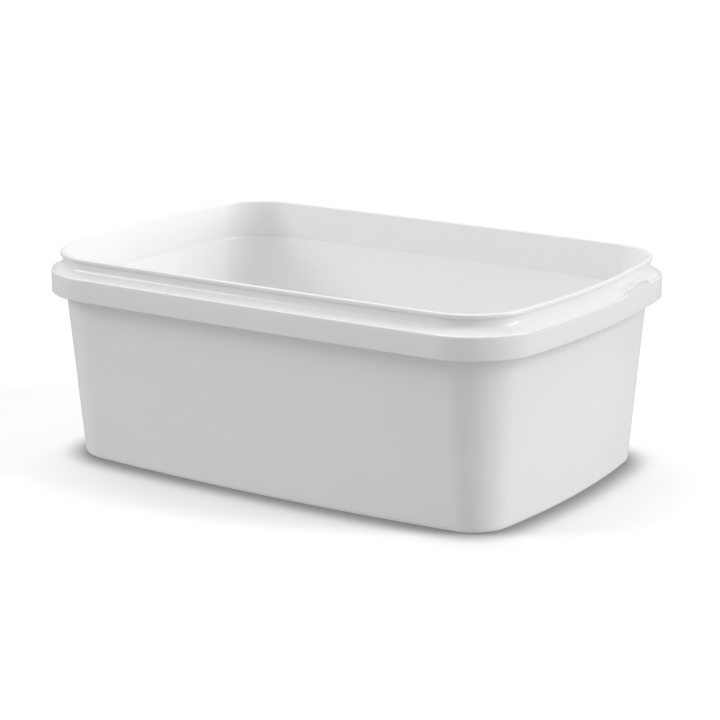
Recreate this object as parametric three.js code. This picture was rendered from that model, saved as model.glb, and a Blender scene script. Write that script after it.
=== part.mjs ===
import * as THREE from 'three';

// An open rectangular food tub, moulded in one piece of thin white plastic.
// Millimetres, +Z up. The origin is at the middle of the underside, on the surface it stands on.
// +X runs along the long side and -Y is the long front side.

// Overall size
const LENGTH = 216;
const WIDTH = 146;
const HEIGHT = 81;

// Thickness of the plastic, and the slight lean of faces that come out of the mould upright
const WALL = 1.0;
const FLOOR = 1.1;
const DRAFT = 0.1;

// Plan of the rim: corner radius, and how far its sides bow out between the corners
const RIM_CORNER = 22;
const RIM_BOW_SHORT = 7.8;
const RIM_BOW_LONG = 1.4;

// Plan of the base, drawn in from the rim
const BASE_INSET_X = 10.9;
const BASE_INSET_Y = 10.1;
const BASE_CORNER = 11.6;
const BASE_BOW_SHORT = 5.0;
const BASE_BOW_LONG = 4.8;

// Foot: the flat band that the tub stands on, round a slightly raised underside
const FOOT_RADIUS = 1.8;
const FOOT_WIDTH = 6;
const FOOT_RECESS = 0.8;

// Body wall below the rim
const BODY_INSET = 4.5;
const BODY_LEVELS = [20, 38, 54];

// Rim: a skirt that hangs from a sloped shoulder, with a low bead along its outer edge
const RIM_Z = 74.1;
const SKIRT_BOTTOM = 65.4;
const SKIRT_WALL = 1.0;
const SKIRT_EDGE = 0.3;
const EDGE_HEIGHT = 0.8;
const BEAD_WIDTH = 1.1;
const BEAD_DIP = 0.15;
const SHOULDER_RISE = 1.95;
const SHOULDER_INSET = 3.75;
const SHOULDER_DEPTH = 1.4;

// Neck and the rounded bead along the lip
const NECK_INSET = 4.3;
const NECK_FLARE = [
  { inset: 4.0, up: 0.3 },
  { inset: 4.2, up: 0.9 },
];
const LIP_INSET = 3.5;
const LIP_BEAD = 1.75;
const LIP_WIDTH = 1.85;
const LIP_START = 1.25 * Math.PI;
const LIP_STEPS = 10;

// Step inside, where the wall sets in below the neck
const STEP_Z = 66.1;
const STEP_DROP = 0.4;

// Inside corner where the wall meets the floor
const FLOOR_RADIUS = 3;

// Half-moon tab that rises from the rim of the right short side
const TAB_MIDDLE = 27.8;
const TAB_HALF_WIDTH = 12.4;
const TAB_HEIGHT = 2.2;

// Segments
const CORNER_STEPS = 8;
const LONG_STEPS = 10;
const SHORT_STEPS = 8;
const TAB_STEPS = 8;
const TAB_GAP_STEPS = 4;
const ARC_STEPS = 4;

// A plan is a rounded rectangle whose sides bow out, given by its greatest half sizes.
const RIM = {
  halfX: LENGTH / 2,
  halfY: WIDTH / 2,
  corner: RIM_CORNER,
  bowX: RIM_BOW_SHORT,
  bowY: RIM_BOW_LONG,
};
const BASE = {
  halfX: LENGTH / 2 - BASE_INSET_X,
  halfY: WIDTH / 2 - BASE_INSET_Y,
  corner: BASE_CORNER,
  bowX: BASE_BOW_SHORT,
  bowY: BASE_BOW_LONG,
};

function inset(plan, distance) {
  return {
    ...plan,
    halfX: plan.halfX - distance,
    halfY: plan.halfY - distance,
    corner: plan.corner - distance,
  };
}

const BODY_TOP = inset(RIM, BODY_INSET);
const NECK_FOOT_Z = RIM_Z + SHOULDER_RISE;

function bodyPlan(z, distance) {
  const mix = (key) => THREE.MathUtils.lerp(BASE[key], BODY_TOP[key], z / RIM_Z);
  const plan = {
    halfX: mix('halfX'),
    halfY: mix('halfY'),
    corner: mix('corner'),
    bowX: mix('bowX'),
    bowY: mix('bowY'),
  };
  return inset(plan, distance);
}

// Where the tab starts and ends, as shares of the straight run of the short side
const SHORT_RUN = WIDTH / 2 - RIM_BOW_LONG - RIM_CORNER;
const TAB_FROM = (TAB_MIDDLE - TAB_HALF_WIDTH) / SHORT_RUN;
const TAB_TO = (TAB_MIDDLE + TAB_HALF_WIDTH) / SHORT_RUN;

function steps(from, to, count) {
  return Array.from({ length: count }, (_, i) => THREE.MathUtils.lerp(from, to, i / count));
}

// Positions along the straight runs, from -1 at one corner to 1 at the next
const LONG_RUN_SHARES = steps(-1, 1, LONG_STEPS).slice(1);
const SHORT_RUN_SHARES = steps(-1, 1, SHORT_STEPS).slice(1);
const TAB_RUN_SHARES = [
  ...steps(-1, 0, TAB_GAP_STEPS).slice(1),
  0,
  ...steps(TAB_FROM, TAB_TO, TAB_STEPS),
  TAB_TO,
];

// Height of the tab at each point round the outline: nothing but on the right short side
function tabRise(share) {
  const t = (2 * (share - TAB_FROM)) / (TAB_TO - TAB_FROM) - 1;
  return Math.abs(t) < 1 ? TAB_HEIGHT * (1 - t * t) : 0;
}

// One turn round a plan, anticlockwise from the right short side, each point with its tab rise
function outline(plan) {
  const { halfX, halfY, corner, bowX, bowY } = plan;
  const a = halfX - bowX;
  const b = halfY - bowY;
  const runX = a - corner;
  const runY = b - corner;
  const points = [];
  const add = (x, y, rise = 0) => {
    const bowedX = x * (1 + (bowX / a) * (1 - (y / b) ** 2));
    const bowedY = y * (1 + (bowY / b) * (1 - (x / a) ** 2));
    points.push({ x: bowedX, y: bowedY, rise });
  };
  const turn = (middleX, middleY, start) => {
    for (let i = 0; i <= CORNER_STEPS; i += 1) {
      const angle = start + (i / CORNER_STEPS) * (Math.PI / 2);
      add(middleX + corner * Math.cos(angle), middleY + corner * Math.sin(angle));
    }
  };
  TAB_RUN_SHARES.forEach((share) => add(a, share * runY, tabRise(share)));
  turn(runX, runY, 0);
  LONG_RUN_SHARES.forEach((share) => add(-share * runX, b));
  turn(-runX, runY, Math.PI / 2);
  SHORT_RUN_SHARES.forEach((share) => add(-a, -share * runY));
  turn(-runX, -runY, Math.PI);
  LONG_RUN_SHARES.forEach((share) => add(share * runX, -b));
  turn(runX, -runY, 1.5 * Math.PI);
  return points;
}

// One level of the surface: a plan at a height. Levels of the tab also rise with it.
function level(plan, z, onTab = false) {
  return outline(plan).map((p) => new THREE.Vector3(p.x, p.y, onTab ? z + p.rise : z));
}

// Levels of a quarter round where the body wall, at a depth, turns into a flat below it
function quarter(depth, zMiddle, radius, from, to) {
  const levels = [];
  for (let i = 0; i <= ARC_STEPS; i += 1) {
    const angle = THREE.MathUtils.lerp(from, to, i / ARC_STEPS);
    const z = zMiddle + radius * Math.sin(angle);
    levels.push(level(bodyPlan(z, depth + radius * (1 - Math.cos(angle))), z));
  }
  return levels;
}

function rim(distance, z, onTab) {
  return level(inset(RIM, distance), z, onTab);
}

function foot() {
  const inner = FOOT_RADIUS + FOOT_WIDTH;
  return [
    level(inset(BASE, inner + FOOT_RECESS), FOOT_RECESS),
    level(inset(BASE, inner), 0),
    ...quarter(0, FOOT_RADIUS, FOOT_RADIUS, -Math.PI / 2, 0),
  ];
}

// The skirt hangs clear of the body wall, so the rim is hollow below its shoulder
function skirt() {
  const underNeck = NECK_FOOT_Z - SHOULDER_DEPTH;
  const underEdge = RIM_Z - SKIRT_WALL - BEAD_DIP;
  return [
    level(bodyPlan(underNeck, 0), underNeck),
    rim(SKIRT_WALL + DRAFT, underEdge),
    rim(SKIRT_WALL, SKIRT_BOTTOM + SKIRT_EDGE),
    rim(SKIRT_WALL - SKIRT_EDGE, SKIRT_BOTTOM),
    rim(SKIRT_EDGE, SKIRT_BOTTOM),
    rim(0, SKIRT_BOTTOM + SKIRT_EDGE),
  ];
}

function edgeBead() {
  const levels = [rim(0, RIM_Z - EDGE_HEIGHT, true)];
  for (let i = 1; i <= ARC_STEPS; i += 1) {
    const angle = (i / ARC_STEPS) * (Math.PI / 2);
    const across = (BEAD_WIDTH / 2) * (1 - Math.cos(angle));
    levels.push(rim(across, RIM_Z - EDGE_HEIGHT * (1 - Math.sin(angle)), true));
  }
  levels.push(rim(BEAD_WIDTH, RIM_Z - BEAD_DIP, true));
  return levels;
}

function shoulder() {
  return [
    rim(BEAD_WIDTH + DRAFT, RIM_Z - 2 * BEAD_DIP, true),
    rim(SHOULDER_INSET, NECK_FOOT_Z),
    ...NECK_FLARE.map((flare) => rim(flare.inset, NECK_FOOT_Z + flare.up)),
    rim(NECK_INSET, HEIGHT - LIP_BEAD),
  ];
}

// The lip is a flattened round bead that stands a little proud of the neck
function lip() {
  const middle = LIP_INSET + LIP_WIDTH / 2;
  const top = HEIGHT - LIP_BEAD / 2;
  const levels = [];
  for (let i = 0; i <= LIP_STEPS; i += 1) {
    const angle = LIP_START * (1 - i / LIP_STEPS);
    const across = (LIP_WIDTH / 2) * Math.cos(angle);
    levels.push(rim(middle + across, top + (LIP_BEAD / 2) * Math.sin(angle)));
  }
  return levels;
}

function inside() {
  const floorTop = FOOT_RECESS + FLOOR;
  const neckInside = LIP_INSET + LIP_WIDTH;
  const wall = (z) => level(bodyPlan(z, WALL), z);
  return [
    rim(neckInside + DRAFT, STEP_Z),
    wall(STEP_Z - STEP_DROP),
    ...BODY_LEVELS.slice().reverse().map(wall),
    ...quarter(WALL, floorTop + FLOOR_RADIUS, FLOOR_RADIUS, 0, -Math.PI / 2),
  ];
}

// Joins the levels by quads, and closes the underside and the floor from their middles
function loft(levels) {
  const count = levels[0].length;
  const positions = levels.flat().flatMap((p) => p.toArray());
  const index = [];
  for (let i = 0; i + 1 < levels.length; i += 1) {
    for (let j = 0; j < count; j += 1) {
      const next = (j + 1) % count;
      const [a, b] = [i * count + j, i * count + next];
      const [c, d] = [a + count, b + count];
      index.push(a, b, d, a, d, c);
    }
  }
  const close = (ring, facingUp) => {
    const middle = positions.length / 3;
    positions.push(0, 0, levels[ring][0].z);
    for (let j = 0; j < count; j += 1) {
      const [a, b] = [ring * count + j, ring * count + ((j + 1) % count)];
      index.push(middle, ...(facingUp ? [a, b] : [b, a]));
    }
  };
  close(0, false);
  close(levels.length - 1, true);
  const geometry = new THREE.BufferGeometry();
  geometry.setAttribute('position', new THREE.Float32BufferAttribute(positions, 3));
  geometry.setIndex(index);
  geometry.computeVertexNormals();
  return geometry;
}

function tubMesh() {
  const levels = [
    ...foot(),
    ...BODY_LEVELS.map((z) => level(bodyPlan(z, 0), z)),
    ...skirt(),
    ...edgeBead(),
    ...shoulder(),
    ...lip(),
    ...inside(),
  ];
  const plastic = new THREE.MeshStandardMaterial({
    color: 0xf0f2f3,
    roughness: 0.32,
    metalness: 0,
  });
  const mesh = new THREE.Mesh(loft(levels), plastic);
  mesh.name = 'tub';
  return mesh;
}

const group = new THREE.Group();
group.add(tubMesh());

export default group;
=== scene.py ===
import math
from collections import namedtuple

import bmesh
import bpy
from bpy.props import FloatProperty, FloatVectorProperty, IntProperty, PointerProperty
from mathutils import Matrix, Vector


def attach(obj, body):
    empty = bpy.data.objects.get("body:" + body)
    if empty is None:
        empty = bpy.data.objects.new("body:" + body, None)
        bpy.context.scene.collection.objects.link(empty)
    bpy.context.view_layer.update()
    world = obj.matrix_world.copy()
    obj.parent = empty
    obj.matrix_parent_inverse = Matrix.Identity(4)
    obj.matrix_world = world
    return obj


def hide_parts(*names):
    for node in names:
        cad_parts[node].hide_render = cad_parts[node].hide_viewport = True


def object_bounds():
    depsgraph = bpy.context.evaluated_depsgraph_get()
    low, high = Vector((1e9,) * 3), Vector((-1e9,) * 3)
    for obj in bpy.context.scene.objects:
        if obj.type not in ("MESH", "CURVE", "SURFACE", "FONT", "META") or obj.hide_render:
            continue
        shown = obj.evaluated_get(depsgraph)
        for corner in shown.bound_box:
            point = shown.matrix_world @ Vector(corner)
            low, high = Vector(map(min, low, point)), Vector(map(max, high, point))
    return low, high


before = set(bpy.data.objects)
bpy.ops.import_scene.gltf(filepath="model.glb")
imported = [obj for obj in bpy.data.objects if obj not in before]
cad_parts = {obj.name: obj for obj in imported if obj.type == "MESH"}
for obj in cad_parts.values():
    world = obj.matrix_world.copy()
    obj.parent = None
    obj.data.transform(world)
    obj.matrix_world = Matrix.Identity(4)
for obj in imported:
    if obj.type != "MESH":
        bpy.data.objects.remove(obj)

bl_info = {
    "name": "Food tub",
    "version": (1, 0, 0),
    "blender": (4, 5, 0),
    "location": "View3D > Sidebar > Food tub",
    "description": "An open rectangular food tub of thin white plastic, moulded in one piece",
    "category": "Add Mesh",
}

# The box of the CAD model, from straight after it is loaded
CAD_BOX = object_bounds()
CAD_SIZE = CAD_BOX[1] - CAD_BOX[0]

# The names that the frame uses for this part
TUB_NODE = "tub"
BODY = "root"

# The photograph is square. A lens is set against this sensor width, in millimetres.
SENSOR_WIDTH = 36.0

# Vertices closer than this are welded, in metres
WELD = 0.00001

# Border inside the flat underside and the floor, in metres
PANEL_BORDER = 0.002

# Edges rounded by more than this, in metres, get more faces round the curve
WIDE_ROUNDING = 0.001
WIDE_SEGMENTS = 8
FINE_SEGMENTS = 5

# Outline of a level seen from above: a rounded rectangle whose sides bow out. The half sizes include
# the bows.
Plan = namedtuple("Plan", "half_x half_y corner short_bow long_bow")

# One corner of the wall's section: the plan it follows, its height, how much it is rounded, and how
# it moves on the tab, if it does
Corner = namedtuple("Corner", "plan z rounding tab", defaults=(0.0, None))

# How far a corner moves outwards on the tab, and upwards beyond the tab's own height
TabShift = namedtuple("TabShift", "out lift")

# How the plastic varies from place to place: the clouds' scale, how far they move the roughness down
# and up, and how much they darken and lighten the colour
CLOUD_SCALE = 45.0
ROUGHNESS_DOWN = 0.04
ROUGHNESS_UP = 0.05
DARKER = 0.985
LIGHTER = 1.012

# Share of the sky that the floor still sees right beside a wall, where the painted contact shadow is at its
# darkest
SKY_BESIDE_WALL = 0.45

# Each lamp's bearing from the front, its height above the horizon and its spread, in degrees
LAMPS = {
    "left_light": (-58.0, 32.0, 24.0),
    "back_light": (-125.0, 64.0, 40.0),
    "top_light": (0.0, 88.0, 50.0),
    "right_light": (112.0, 35.0, 24.0),
    "low_light": (116.0, 10.0, 20.0),
}


class TubSizes(bpy.types.PropertyGroup):
    """Sizes of the tub, in metres."""

    length: FloatProperty(
        name="Length", description="Over the rim, along X", default=CAD_SIZE.x, unit="LENGTH"
    )
    width: FloatProperty(
        name="Width", description="Over the rim, along Y", default=CAD_SIZE.y, unit="LENGTH"
    )
    height: FloatProperty(
        name="Height", description="From the foot to the lip", default=CAD_SIZE.z, unit="LENGTH"
    )
    wall: FloatProperty(
        name="Wall", description="Thickness of the walls", default=0.0010, unit="LENGTH"
    )
    floor: FloatProperty(
        name="Floor", description="Thickness of the floor", default=0.0011, unit="LENGTH"
    )
    rim_corner: FloatProperty(
        name="Rim corner", description="Corner radius of the rim's plan", default=0.022, unit="LENGTH"
    )
    short_bow: FloatProperty(
        name="Short side bow",
        description="How far the rim's short sides bow out between the corners",
        default=0.0078,
        unit="LENGTH",
    )
    long_bow: FloatProperty(
        name="Long side bow",
        description="How far the rim's long sides bow out between the corners",
        default=0.0014,
        unit="LENGTH",
    )
    base_end_inset: FloatProperty(
        name="Base end inset",
        description="How far the base's short sides are drawn in from the rim",
        default=0.0109,
        unit="LENGTH",
    )
    base_side_inset: FloatProperty(
        name="Base side inset",
        description="How far the base's long sides are drawn in from the rim",
        default=0.0101,
        unit="LENGTH",
    )
    base_corner: FloatProperty(
        name="Base corner", description="Corner radius of the base's plan", default=0.0116, unit="LENGTH"
    )
    base_short_bow: FloatProperty(
        name="Base short side bow",
        description="Bow of the base's short sides",
        default=0.0050,
        unit="LENGTH",
    )
    base_long_bow: FloatProperty(
        name="Base long side bow",
        description="Bow of the base's long sides",
        default=0.0048,
        unit="LENGTH",
    )
    body_inset: FloatProperty(
        name="Body inset",
        description="Inset of the body wall where it meets the rim",
        default=0.0045,
        unit="LENGTH",
    )
    body_corner: FloatProperty(
        name="Body corner",
        description="Corner radius of the body at the rim",
        default=0.0175,
        unit="LENGTH",
    )
    foot_radius: FloatProperty(
        name="Foot radius", description="Rounding under the walls", default=0.0018, unit="LENGTH"
    )
    foot_width: FloatProperty(
        name="Foot width", description="Flat band that the tub stands on", default=0.006, unit="LENGTH"
    )
    foot_recess: FloatProperty(
        name="Foot recess", description="Rise of the underside", default=0.0008, unit="LENGTH"
    )
    floor_radius: FloatProperty(
        name="Floor radius", description="Rounding inside the floor", default=0.003, unit="LENGTH"
    )
    rim_z: FloatProperty(
        name="Rim height", description="Top of the rim's outer edge", default=0.0741, unit="LENGTH"
    )
    edge_radius: FloatProperty(
        name="Edge radius", description="Rounding of the rim's outer edge", default=0.0004, unit="LENGTH"
    )
    skirt_bottom: FloatProperty(
        name="Skirt bottom", description="Height of the skirt's lower edge", default=0.0654, unit="LENGTH"
    )
    shoulder_rise: FloatProperty(
        name="Shoulder rise",
        description="Rise of the sloped shoulder from the rim to the neck",
        default=0.00195,
        unit="LENGTH",
    )
    neck_inset: FloatProperty(
        name="Neck inset", description="Inset of the neck's outer face", default=0.0043, unit="LENGTH"
    )
    lip_inset: FloatProperty(
        name="Lip inset", description="Inset of the lip bead's outer face", default=0.0035, unit="LENGTH"
    )
    lip_width: FloatProperty(
        name="Lip width", description="Width of the lip bead", default=0.00185, unit="LENGTH"
    )
    lip_depth: FloatProperty(
        name="Lip depth", description="Height of the lip bead", default=0.00175, unit="LENGTH"
    )
    step_z: FloatProperty(
        name="Step height", description="Height of the step inside", default=0.0661, unit="LENGTH"
    )
    tab_middle: FloatProperty(
        name="Tab middle", description="Place of the half-moon tab along Y", default=0.0278, unit="LENGTH"
    )
    tab_half_width: FloatProperty(
        name="Tab half width", description="Half of the tab's width", default=0.0124, unit="LENGTH"
    )
    tab_height: FloatProperty(
        name="Tab height", description="Rise of the tab above the rim", default=0.0022, unit="LENGTH"
    )
    tab_groove: FloatProperty(
        name="Tab groove", description="Depth of the groove along the tab", default=0.0009, unit="LENGTH"
    )
    corner_steps: IntProperty(name="Corner steps", description="Faces round one corner", default=20)
    long_steps: IntProperty(name="Long steps", description="Faces along half a long side", default=20)
    short_steps: IntProperty(name="Short steps", description="Faces along half a short side", default=60)


class TubFinish(bpy.types.PropertyGroup):
    """Finish of the white plastic."""

    colour: FloatVectorProperty(
        name="Colour",
        description="Colour of the plastic",
        default=(0.905, 0.907, 0.913),
        subtype="COLOR",
        size=3,
    )
    roughness: FloatProperty(
        name="Roughness", description="Of the moulded surface", default=0.22, subtype="FACTOR"
    )
    glow: FloatProperty(
        name="Glow through", description="Share of the light that soaks in", default=0.3, subtype="FACTOR"
    )
    glow_depth: FloatProperty(
        name="Glow depth", description="How far light soaks in", default=0.0010, unit="LENGTH"
    )
    grain: FloatProperty(
        name="Grain", description="Size of the fine surface grain", default=0.0006, unit="LENGTH"
    )
    grain_depth: FloatProperty(
        name="Grain depth", description="Depth of the fine grain", default=0.000006, unit="LENGTH"
    )
    ripple: FloatProperty(
        name="Ripple", description="Size of the slow waves in the walls", default=0.035, unit="LENGTH"
    )
    ripple_depth: FloatProperty(
        name="Ripple depth", description="Depth of the slow waves", default=0.00006, unit="LENGTH"
    )


class StudioSettings(bpy.types.PropertyGroup):
    """Floor, lights and camera."""

    azimuth: FloatProperty(
        name="Azimuth",
        description="Camera's bearing from the front",
        default=math.radians(32.98),
        subtype="ANGLE",
    )
    elevation: FloatProperty(
        name="Elevation",
        description="Camera's height above the horizon",
        default=math.radians(14.78),
        subtype="ANGLE",
    )
    distance: FloatProperty(
        name="Distance", description="From the camera to its target", default=0.8831, unit="LENGTH"
    )
    target: FloatVectorProperty(
        name="Target",
        description="Point in the middle of the picture",
        default=(0.00156, 0.00110, 0.03797),
        subtype="XYZ",
        size=3,
    )
    lens: FloatProperty(name="Lens", description="Focal length in millimetres", default=114.43)
    floor_size: FloatProperty(
        name="Floor size", description="Radius of the floor", default=12.0, unit="LENGTH"
    )
    floor_colour: FloatVectorProperty(
        name="Floor colour",
        description="Pale floor",
        default=(0.97, 0.97, 0.97),
        subtype="COLOR",
        size=3,
    )
    floor_glow: FloatProperty(
        name="Floor glow", description="Light that the floor gives off by itself", default=0.08
    )
    # Reach and darkest tone of the contact shadow that is painted into the floor's colour
    painted_shadow_reach: FloatProperty(
        name="Contact reach",
        description="How near the floor something has to be to darken it",
        default=0.014,
        unit="LENGTH",
    )
    painted_shadow_tone: FloatProperty(
        name="Contact tone",
        description="Tone of the floor right beside the tub",
        default=0.36,
        subtype="FACTOR",
    )
    room_light: FloatProperty(name="Room light", description="Even light from all round", default=0.475)
    left_light: FloatProperty(name="Left light", description="From the left", default=0.9)
    back_light: FloatProperty(name="Back light", description="High, from behind", default=0.62)
    top_light: FloatProperty(name="Top light", description="From straight above", default=0.34)
    right_light: FloatProperty(name="Right light", description="From the right", default=0.95)
    low_light: FloatProperty(name="Low light", description="Low, from the right", default=0.66)


# Shapes

def inset_plan(plan, distance):
    """The same plan drawn in all round."""
    return plan._replace(
        half_x=plan.half_x - distance, half_y=plan.half_y - distance, corner=plan.corner - distance
    )


def rim_plan(s, inset=0.0):
    """Plan of the rim, or of a level that lies that far inside it."""
    rim = Plan(s.length / 2, s.width / 2, s.rim_corner, s.short_bow, s.long_bow)
    return inset_plan(rim, inset)


def body_plan(s, z, depth=0.0):
    """Plan of the tapering body wall at a height, or that much deeper in."""
    base = Plan(
        s.length / 2 - s.base_end_inset,
        s.width / 2 - s.base_side_inset,
        s.base_corner,
        s.base_short_bow,
        s.base_long_bow,
    )
    top = rim_plan(s, s.body_inset)._replace(corner=s.body_corner)
    share = z / s.rim_z
    return inset_plan(Plan(*(a + (b - a) * share for a, b in zip(base, top))), depth)


def section(s):
    """Corners of the wall's section, from the underside out over the rim and down to the floor."""
    keen = 0.00006
    crisp = 0.0003
    soft = 0.0004
    draft = 0.0001
    dip = 0.00015
    bead = 0.0011
    shoulder_inset = 0.00375
    neck_rise = 0.0008
    step_drop = 0.0004
    rows = (0.022, 0.044)
    edge = s.edge_radius
    slant = 0.3 * edge
    tab_face = TabShift(out=0.0, lift=0.0001)
    tab_groove = TabShift(out=slant - s.tab_groove, lift=-0.00015)
    tab_edge = TabShift(out=0.0003, lift=0.00003)
    tab_top = TabShift(out=0.0, lift=0.0001)
    tab_back = TabShift(out=0.0, lift=0.0004)
    lip_back = s.lip_inset + s.lip_width
    lip_foot = s.height - s.lip_depth
    neck_foot = s.rim_z + s.shoulder_rise
    under_neck = neck_foot - 1.4 * s.wall
    foot_inner = s.foot_radius + s.foot_width
    floor_top = s.foot_recess + s.floor
    return [
        Corner(body_plan(s, 0.0, foot_inner + s.foot_recess), s.foot_recess, soft),
        Corner(body_plan(s, 0.0, foot_inner), 0.0, soft),
        Corner(body_plan(s, 0.0), 0.0, s.foot_radius),
        *(Corner(body_plan(s, z), z) for z in rows),
        Corner(body_plan(s, under_neck), under_neck, soft),
        Corner(rim_plan(s, s.wall + draft), s.rim_z - s.wall - dip, crisp),
        Corner(rim_plan(s, s.wall), s.skirt_bottom, crisp),
        Corner(rim_plan(s), s.skirt_bottom, crisp),
        Corner(rim_plan(s), s.rim_z - edge, keen, tab_face),
        Corner(rim_plan(s, slant), s.rim_z - slant, keen, tab_groove),
        Corner(rim_plan(s, edge), s.rim_z, rounding=0.0001, tab=tab_edge),
        Corner(rim_plan(s, bead), s.rim_z, crisp, tab_top),
        Corner(rim_plan(s, bead + draft), s.rim_z - 2 * dip, rounding=0.00015, tab=tab_back),
        Corner(rim_plan(s, shoulder_inset), neck_foot, soft),
        Corner(rim_plan(s, s.neck_inset - draft), neck_foot + neck_rise, rounding=0.0005),
        Corner(rim_plan(s, s.neck_inset), lip_foot, rounding=0.0002),
        Corner(rim_plan(s, s.lip_inset), lip_foot + draft, soft),
        Corner(rim_plan(s, s.lip_inset), s.height, rounding=0.0007),
        Corner(rim_plan(s, lip_back), s.height, rounding=0.0009),
        Corner(rim_plan(s, lip_back + draft), s.step_z, crisp),
        Corner(body_plan(s, s.step_z, s.wall), s.step_z - step_drop, crisp),
        *(Corner(body_plan(s, z, s.wall), z) for z in reversed(rows)),
        Corner(body_plan(s, 0.0, s.wall), floor_top, s.floor_radius),
    ]


def sweep_quarter(bm, s, corners):
    """Turns the section round one corner and runs both ends out straight, to a unit length."""
    level = bm.verts.layers.int["level"]
    verts = []
    for index, corner in enumerate(corners):
        vert = bm.verts.new((corner.plan.corner, 0.0, corner.z))
        vert[level] = index
        verts.append(vert)
    edges = [bm.edges.new(pair) for pair in zip(verts, verts[1:])]
    turned = bmesh.ops.spin(
        bm,
        geom=verts + edges,
        cent=(0.0, 0.0, 0.0),
        axis=(0.0, 0.0, 1.0),
        angle=math.pi / 2,
        steps=s.corner_steps,
        use_merge=False,
        use_duplicate=False,
    )
    last = [e for e in turned["geom_last"] if isinstance(e, bmesh.types.BMEdge)]
    run_straight(bm, last, Vector((-1.0, 0.0, 0.0)), s.long_steps)
    run_straight(bm, edges, Vector((0.0, -1.0, 0.0)), s.short_steps)


def run_straight(bm, edges, reach, steps):
    """Extrudes a row of edges along a straight line in equal steps."""
    for _ in range(steps):
        geom = bmesh.ops.extrude_edge_only(bm, edges=edges)["geom"]
        row = [v for v in geom if isinstance(v, bmesh.types.BMVert)]
        bmesh.ops.translate(bm, vec=reach / steps, verts=row)
        edges = [e for e in geom if isinstance(e, bmesh.types.BMEdge) and set(row).issuperset(e.verts)]


def place_levels(bm, corners):
    """Gives each level its own straight runs and moves its corner out to the end of them."""
    level = bm.verts.layers.int["level"]
    for vert in bm.verts:
        plan = corners[vert[level]].plan
        run_x = plan.half_x - plan.short_bow - plan.corner
        run_y = plan.half_y - plan.long_bow - plan.corner
        vert.co.x = run_x + (vert.co.x * run_x if vert.co.x < 0.0 else vert.co.x)
        vert.co.y = run_y + (vert.co.y * run_y if vert.co.y < 0.0 else vert.co.y)


def mirror_all(bm):
    """Mirrors the quarter over both middle planes, welds the halves and closes underside and floor."""
    for axis in ("X", "Y"):
        bmesh.ops.mirror(bm, geom=bm.verts[:] + bm.edges[:] + bm.faces[:], merge_dist=WELD, axis=axis)
    bmesh.ops.remove_doubles(bm, verts=bm.verts[:], dist=WELD)
    bmesh.ops.holes_fill(bm, edges=[e for e in bm.edges if e.is_boundary], sides=0)
    bmesh.ops.recalc_face_normals(bm, faces=bm.faces[:])


def border_panels(bm):
    """Gives the underside and the floor a narrow border each, so that their shading stays flat."""
    panels = [f for f in bm.faces if len(f.verts) > 4]
    bmesh.ops.inset_individual(bm, faces=panels, thickness=PANEL_BORDER, use_even_offset=True)


def bow_sides(bm, corners):
    """Bows the sides of each level out between its corners."""
    level = bm.verts.layers.int["level"]
    for vert in bm.verts:
        plan = corners[vert[level]].plan
        straight_x = plan.half_x - plan.short_bow
        straight_y = plan.half_y - plan.long_bow
        x = vert.co.x / straight_x
        y = vert.co.y / straight_y
        vert.co.x += x * plan.short_bow * (1.0 - y * y)
        vert.co.y += y * plan.long_bow * (1.0 - x * x)


def raise_tab(bm, s, corners):
    """Raises the rim's outer edge into the half-moon tab, under a fine groove, on the right side."""
    level = bm.verts.layers.int["level"]
    for vert in bm.verts:
        shift = corners[vert[level]].tab
        t = (vert.co.y - s.tab_middle) / s.tab_half_width
        if shift and vert.co.x > 0.0 and abs(t) < 1.0:
            moon = 1.0 - t * t
            fade = min(1.0, 4.0 * moon)
            vert.co.x += shift.out * fade
            vert.co.z += s.tab_height * moon + shift.lift * fade


def round_levels(bm, corners):
    """Rounds the tub's level edges, each by its own amount."""
    level = bm.verts.layers.int["level"]
    rings = {
        index: [e for e in bm.edges if all(v[level] == index for v in e.verts)]
        for index, corner in enumerate(corners)
        if corner.rounding
    }
    for index, edges in rings.items():
        rounding = corners[index].rounding
        bmesh.ops.bevel(
            bm,
            geom=edges,
            offset=rounding,
            offset_type="OFFSET",
            segments=WIDE_SEGMENTS if rounding > WIDE_ROUNDING else FINE_SEGMENTS,
            profile=0.5,
            affect="EDGES",
            clamp_overlap=False,
            material=-1,
        )


def tub_mesh(s):
    """The whole tub as one closed mesh."""
    bm = bmesh.new()
    bm.verts.layers.int.new("level")
    corners = section(s)
    sweep_quarter(bm, s, corners)
    place_levels(bm, corners)
    mirror_all(bm)
    bow_sides(bm, corners)
    raise_tab(bm, s, corners)
    round_levels(bm, corners)
    border_panels(bm)
    bmesh.ops.recalc_face_normals(bm, faces=bm.faces[:])
    for face in bm.faces:
        face.smooth = True
    mesh = bpy.data.meshes.new("tub_shell")
    bm.to_mesh(mesh)
    bm.free()
    return mesh


# Materials

def add_node(tree, kind, place, **values):
    """Adds a shader node and sets its sockets by name."""
    node = tree.nodes.new(kind)
    node.location = place
    for name, value in values.items():
        node.inputs[name.replace("_", " ")].default_value = value
    return node


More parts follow.
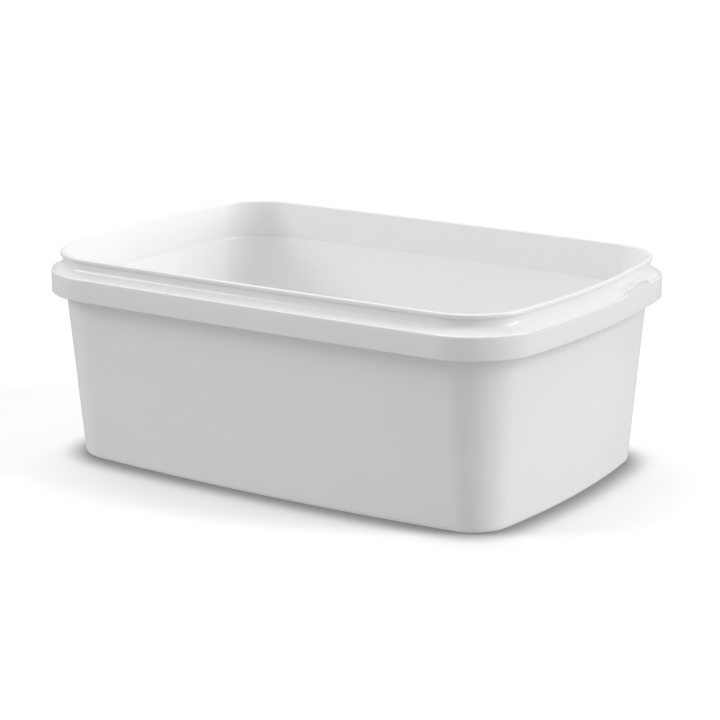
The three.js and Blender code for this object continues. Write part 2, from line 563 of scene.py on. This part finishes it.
def white_plastic(f):
    """Smooth white moulded plastic with a soft gloss, a little light through it, grain and slow waves."""
    material = bpy.data.materials.new("white_plastic")
    material.use_nodes = True
    tree = material.node_tree
    shader = tree.nodes["Principled BSDF"]
    shader.inputs["IOR"].default_value = 1.49
    shader.inputs["Subsurface Weight"].default_value = f.glow
    shader.inputs["Subsurface Radius"].default_value = (1.0, 1.0, 1.0)
    shader.inputs["Subsurface Scale"].default_value = f.glow_depth
    place = tree.nodes.new("ShaderNodeTexCoord")
    grain = add_node(tree, "ShaderNodeTexNoise", (-700, -200), Scale=1.0 / f.grain, Detail=2.0)
    waves = add_node(tree, "ShaderNodeTexNoise", (-700, -450), Scale=1.0 / f.ripple, Detail=2.0)
    clouds = add_node(tree, "ShaderNodeTexNoise", (-700, 100), Scale=CLOUD_SCALE, Detail=4.0)
    for node in (grain, waves, clouds):
        tree.links.new(place.outputs["Object"], node.inputs["Vector"])
    gloss = add_node(
        tree,
        "ShaderNodeMapRange",
        (-400, 0),
        To_Min=f.roughness - ROUGHNESS_DOWN,
        To_Max=f.roughness + ROUGHNESS_UP,
    )
    tint = tree.nodes.new("ShaderNodeValToRGB")
    tint.color_ramp.elements[0].color = (*[c * DARKER for c in f.colour], 1.0)
    tint.color_ramp.elements[1].color = (*[min(1.0, c * LIGHTER) for c in f.colour], 1.0)
    tree.links.new(clouds.outputs["Fac"], gloss.inputs["Value"])
    tree.links.new(gloss.outputs["Result"], shader.inputs["Roughness"])
    tree.links.new(clouds.outputs["Fac"], tint.inputs["Fac"])
    tree.links.new(tint.outputs["Color"], shader.inputs["Base Color"])
    slow = add_node(tree, "ShaderNodeBump", (-400, -450), Strength=1.0, Distance=f.ripple_depth)
    fine = add_node(tree, "ShaderNodeBump", (-200, -300), Strength=1.0, Distance=f.grain_depth)
    tree.links.new(waves.outputs["Fac"], slow.inputs["Height"])
    tree.links.new(grain.outputs["Fac"], fine.inputs["Height"])
    tree.links.new(slow.outputs["Normal"], fine.inputs["Normal"])
    tree.links.new(fine.outputs["Normal"], shader.inputs["Normal"])
    return material


def pale_floor(s):
    """Plain matt floor that gives off a little light of its own, with a contact shadow painted into its
    colour where something stands close to it.
    """
    material = bpy.data.materials.new("pale_floor")
    material.use_nodes = True
    tree = material.node_tree
    shader = tree.nodes["Principled BSDF"]
    shader.inputs["Roughness"].default_value = 0.9
    shader.inputs["Specular IOR Level"].default_value = 0.0
    shader.inputs["Emission Strength"].default_value = s.floor_glow
    # Painted contact shadow: the floor's colour, and its glow with it, are darkened where the floor sees
    # little sky close by
    open_sky = add_node(tree, "ShaderNodeAmbientOcclusion", (-700, 0), Distance=s.painted_shadow_reach)
    shade = add_node(tree, "ShaderNodeMapRange", (-500, 0), From_Min=SKY_BESIDE_WALL, To_Min=s.painted_shadow_tone)
    shade.interpolation_type = "SMOOTHSTEP"
    paint = add_node(tree, "ShaderNodeVectorMath", (-250, 0), Vector=s.floor_colour)
    paint.operation = "SCALE"
    tree.links.new(open_sky.outputs["AO"], shade.inputs["Value"])
    tree.links.new(shade.outputs["Result"], paint.inputs["Scale"])
    tree.links.new(paint.outputs["Vector"], shader.inputs["Base Color"])
    tree.links.new(paint.outputs["Vector"], shader.inputs["Emission Color"])
    return material


# Stage

def add_object(name, data):
    """Links a new object to the scene."""
    made = bpy.data.objects.new(name, data)
    bpy.context.scene.collection.objects.link(made)
    return made


def soft_light(name, azimuth, elevation, spread, strength):
    """A wide, even light from far off, placed by angles in degrees."""
    data = bpy.data.lights.new(name, "SUN")
    data.energy = strength
    data.angle = math.radians(spread)
    lamp = add_object(name, data)
    a = math.radians(azimuth)
    e = math.radians(elevation)
    towards = Vector((math.sin(a) * math.cos(e), -math.cos(a) * math.cos(e), math.sin(e)))
    lamp.rotation_euler = towards.to_track_quat("Z", "Y").to_euler()
    return lamp


def white_room(strength):
    """An even room, seen as plain white by the camera."""
    world = bpy.data.worlds.new("studio_room")
    world.use_nodes = True
    tree = world.node_tree
    white = tree.nodes["Background"]
    white.inputs["Color"].default_value = (1.0, 1.0, 1.0, 1.0)
    path = tree.nodes.new("ShaderNodeLightPath")
    level = add_node(tree, "ShaderNodeMapRange", (-200, 0), To_Min=strength, To_Max=1.0)
    tree.links.new(path.outputs["Is Camera Ray"], level.inputs["Value"])
    tree.links.new(level.outputs["Result"], white.inputs["Strength"])
    bpy.context.scene.world = world


class FOODTUB_OT_tub(bpy.types.Operator):
    """Build the moulded tub."""

    bl_idname = "foodtub.tub"
    bl_label = "Build tub"

    def execute(self, context):
        sizes = context.scene.foodtub_sizes
        finish = context.scene.foodtub_finish
        tub = add_object("tub_shell", tub_mesh(sizes))
        tub.data.materials.append(white_plastic(finish))
        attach(tub, BODY)
        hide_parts(TUB_NODE)
        return {"FINISHED"}


class FOODTUB_OT_studio(bpy.types.Operator):
    """Build the floor, the lights and the camera."""

    bl_idname = "foodtub.studio"
    bl_label = "Build studio"

    def execute(self, context):
        s = context.scene.foodtub_studio
        bm = bmesh.new()
        bmesh.ops.create_circle(bm, cap_ends=True, segments=64, radius=s.floor_size)
        mesh = bpy.data.meshes.new("studio_floor")
        bm.to_mesh(mesh)
        bm.free()
        floor = add_object("studio_floor", mesh)
        floor.data.materials.append(pale_floor(s))
        # The tub is lit by the even room alone, not by the floor
        floor.visible_diffuse = False
        floor.visible_glossy = False
        for name, (azimuth, elevation, spread) in LAMPS.items():
            soft_light(name, azimuth, elevation, spread, getattr(s, name))
        white_room(s.room_light)
        self.add_camera(context, s)
        context.scene.view_settings.view_transform = "Standard"
        return {"FINISHED"}

    def add_camera(self, context, s):
        """Camera at the photograph's angle."""
        data = bpy.data.cameras.new("photo_camera")
        data.sensor_width = SENSOR_WIDTH
        data.lens = s.lens
        camera = add_object("photo_camera", data)
        back = Vector(
            (
                math.sin(s.azimuth) * math.cos(s.elevation),
                -math.cos(s.azimuth) * math.cos(s.elevation),
                math.sin(s.elevation),
            )
        )
        camera.location = Vector(s.target) + back * s.distance
        camera.rotation_euler = back.to_track_quat("Z", "Y").to_euler()
        context.scene.camera = camera


class FOODTUB_PT_panel(bpy.types.Panel):
    """Sidebar panel of the food tub."""

    bl_idname = "FOODTUB_PT_panel"
    bl_label = "Food tub"
    bl_space_type = "VIEW_3D"
    bl_region_type = "UI"
    bl_category = "Food tub"

    def draw(self, context):
        for settings in ("foodtub_sizes", "foodtub_finish", "foodtub_studio"):
            group = getattr(context.scene, settings)
            for name in group.__annotations__:
                self.layout.prop(group, name)
        for operator in (FOODTUB_OT_tub, FOODTUB_OT_studio):
            self.layout.operator(operator.bl_idname)


CLASSES = (
    TubSizes,
    TubFinish,
    StudioSettings,
    FOODTUB_OT_tub,
    FOODTUB_OT_studio,
    FOODTUB_PT_panel,
)


def register():
    for cls in CLASSES:
        bpy.utils.register_class(cls)
    bpy.types.Scene.foodtub_sizes = PointerProperty(type=TubSizes)
    bpy.types.Scene.foodtub_finish = PointerProperty(type=TubFinish)
    bpy.types.Scene.foodtub_studio = PointerProperty(type=StudioSettings)


def unregister():
    del bpy.types.Scene.foodtub_studio
    del bpy.types.Scene.foodtub_finish
    del bpy.types.Scene.foodtub_sizes
    for cls in reversed(CLASSES):
        bpy.utils.unregister_class(cls)


def main():
    register()
    bpy.ops.foodtub.tub()
    bpy.ops.foodtub.studio()


if __name__ == "__main__":
    main()
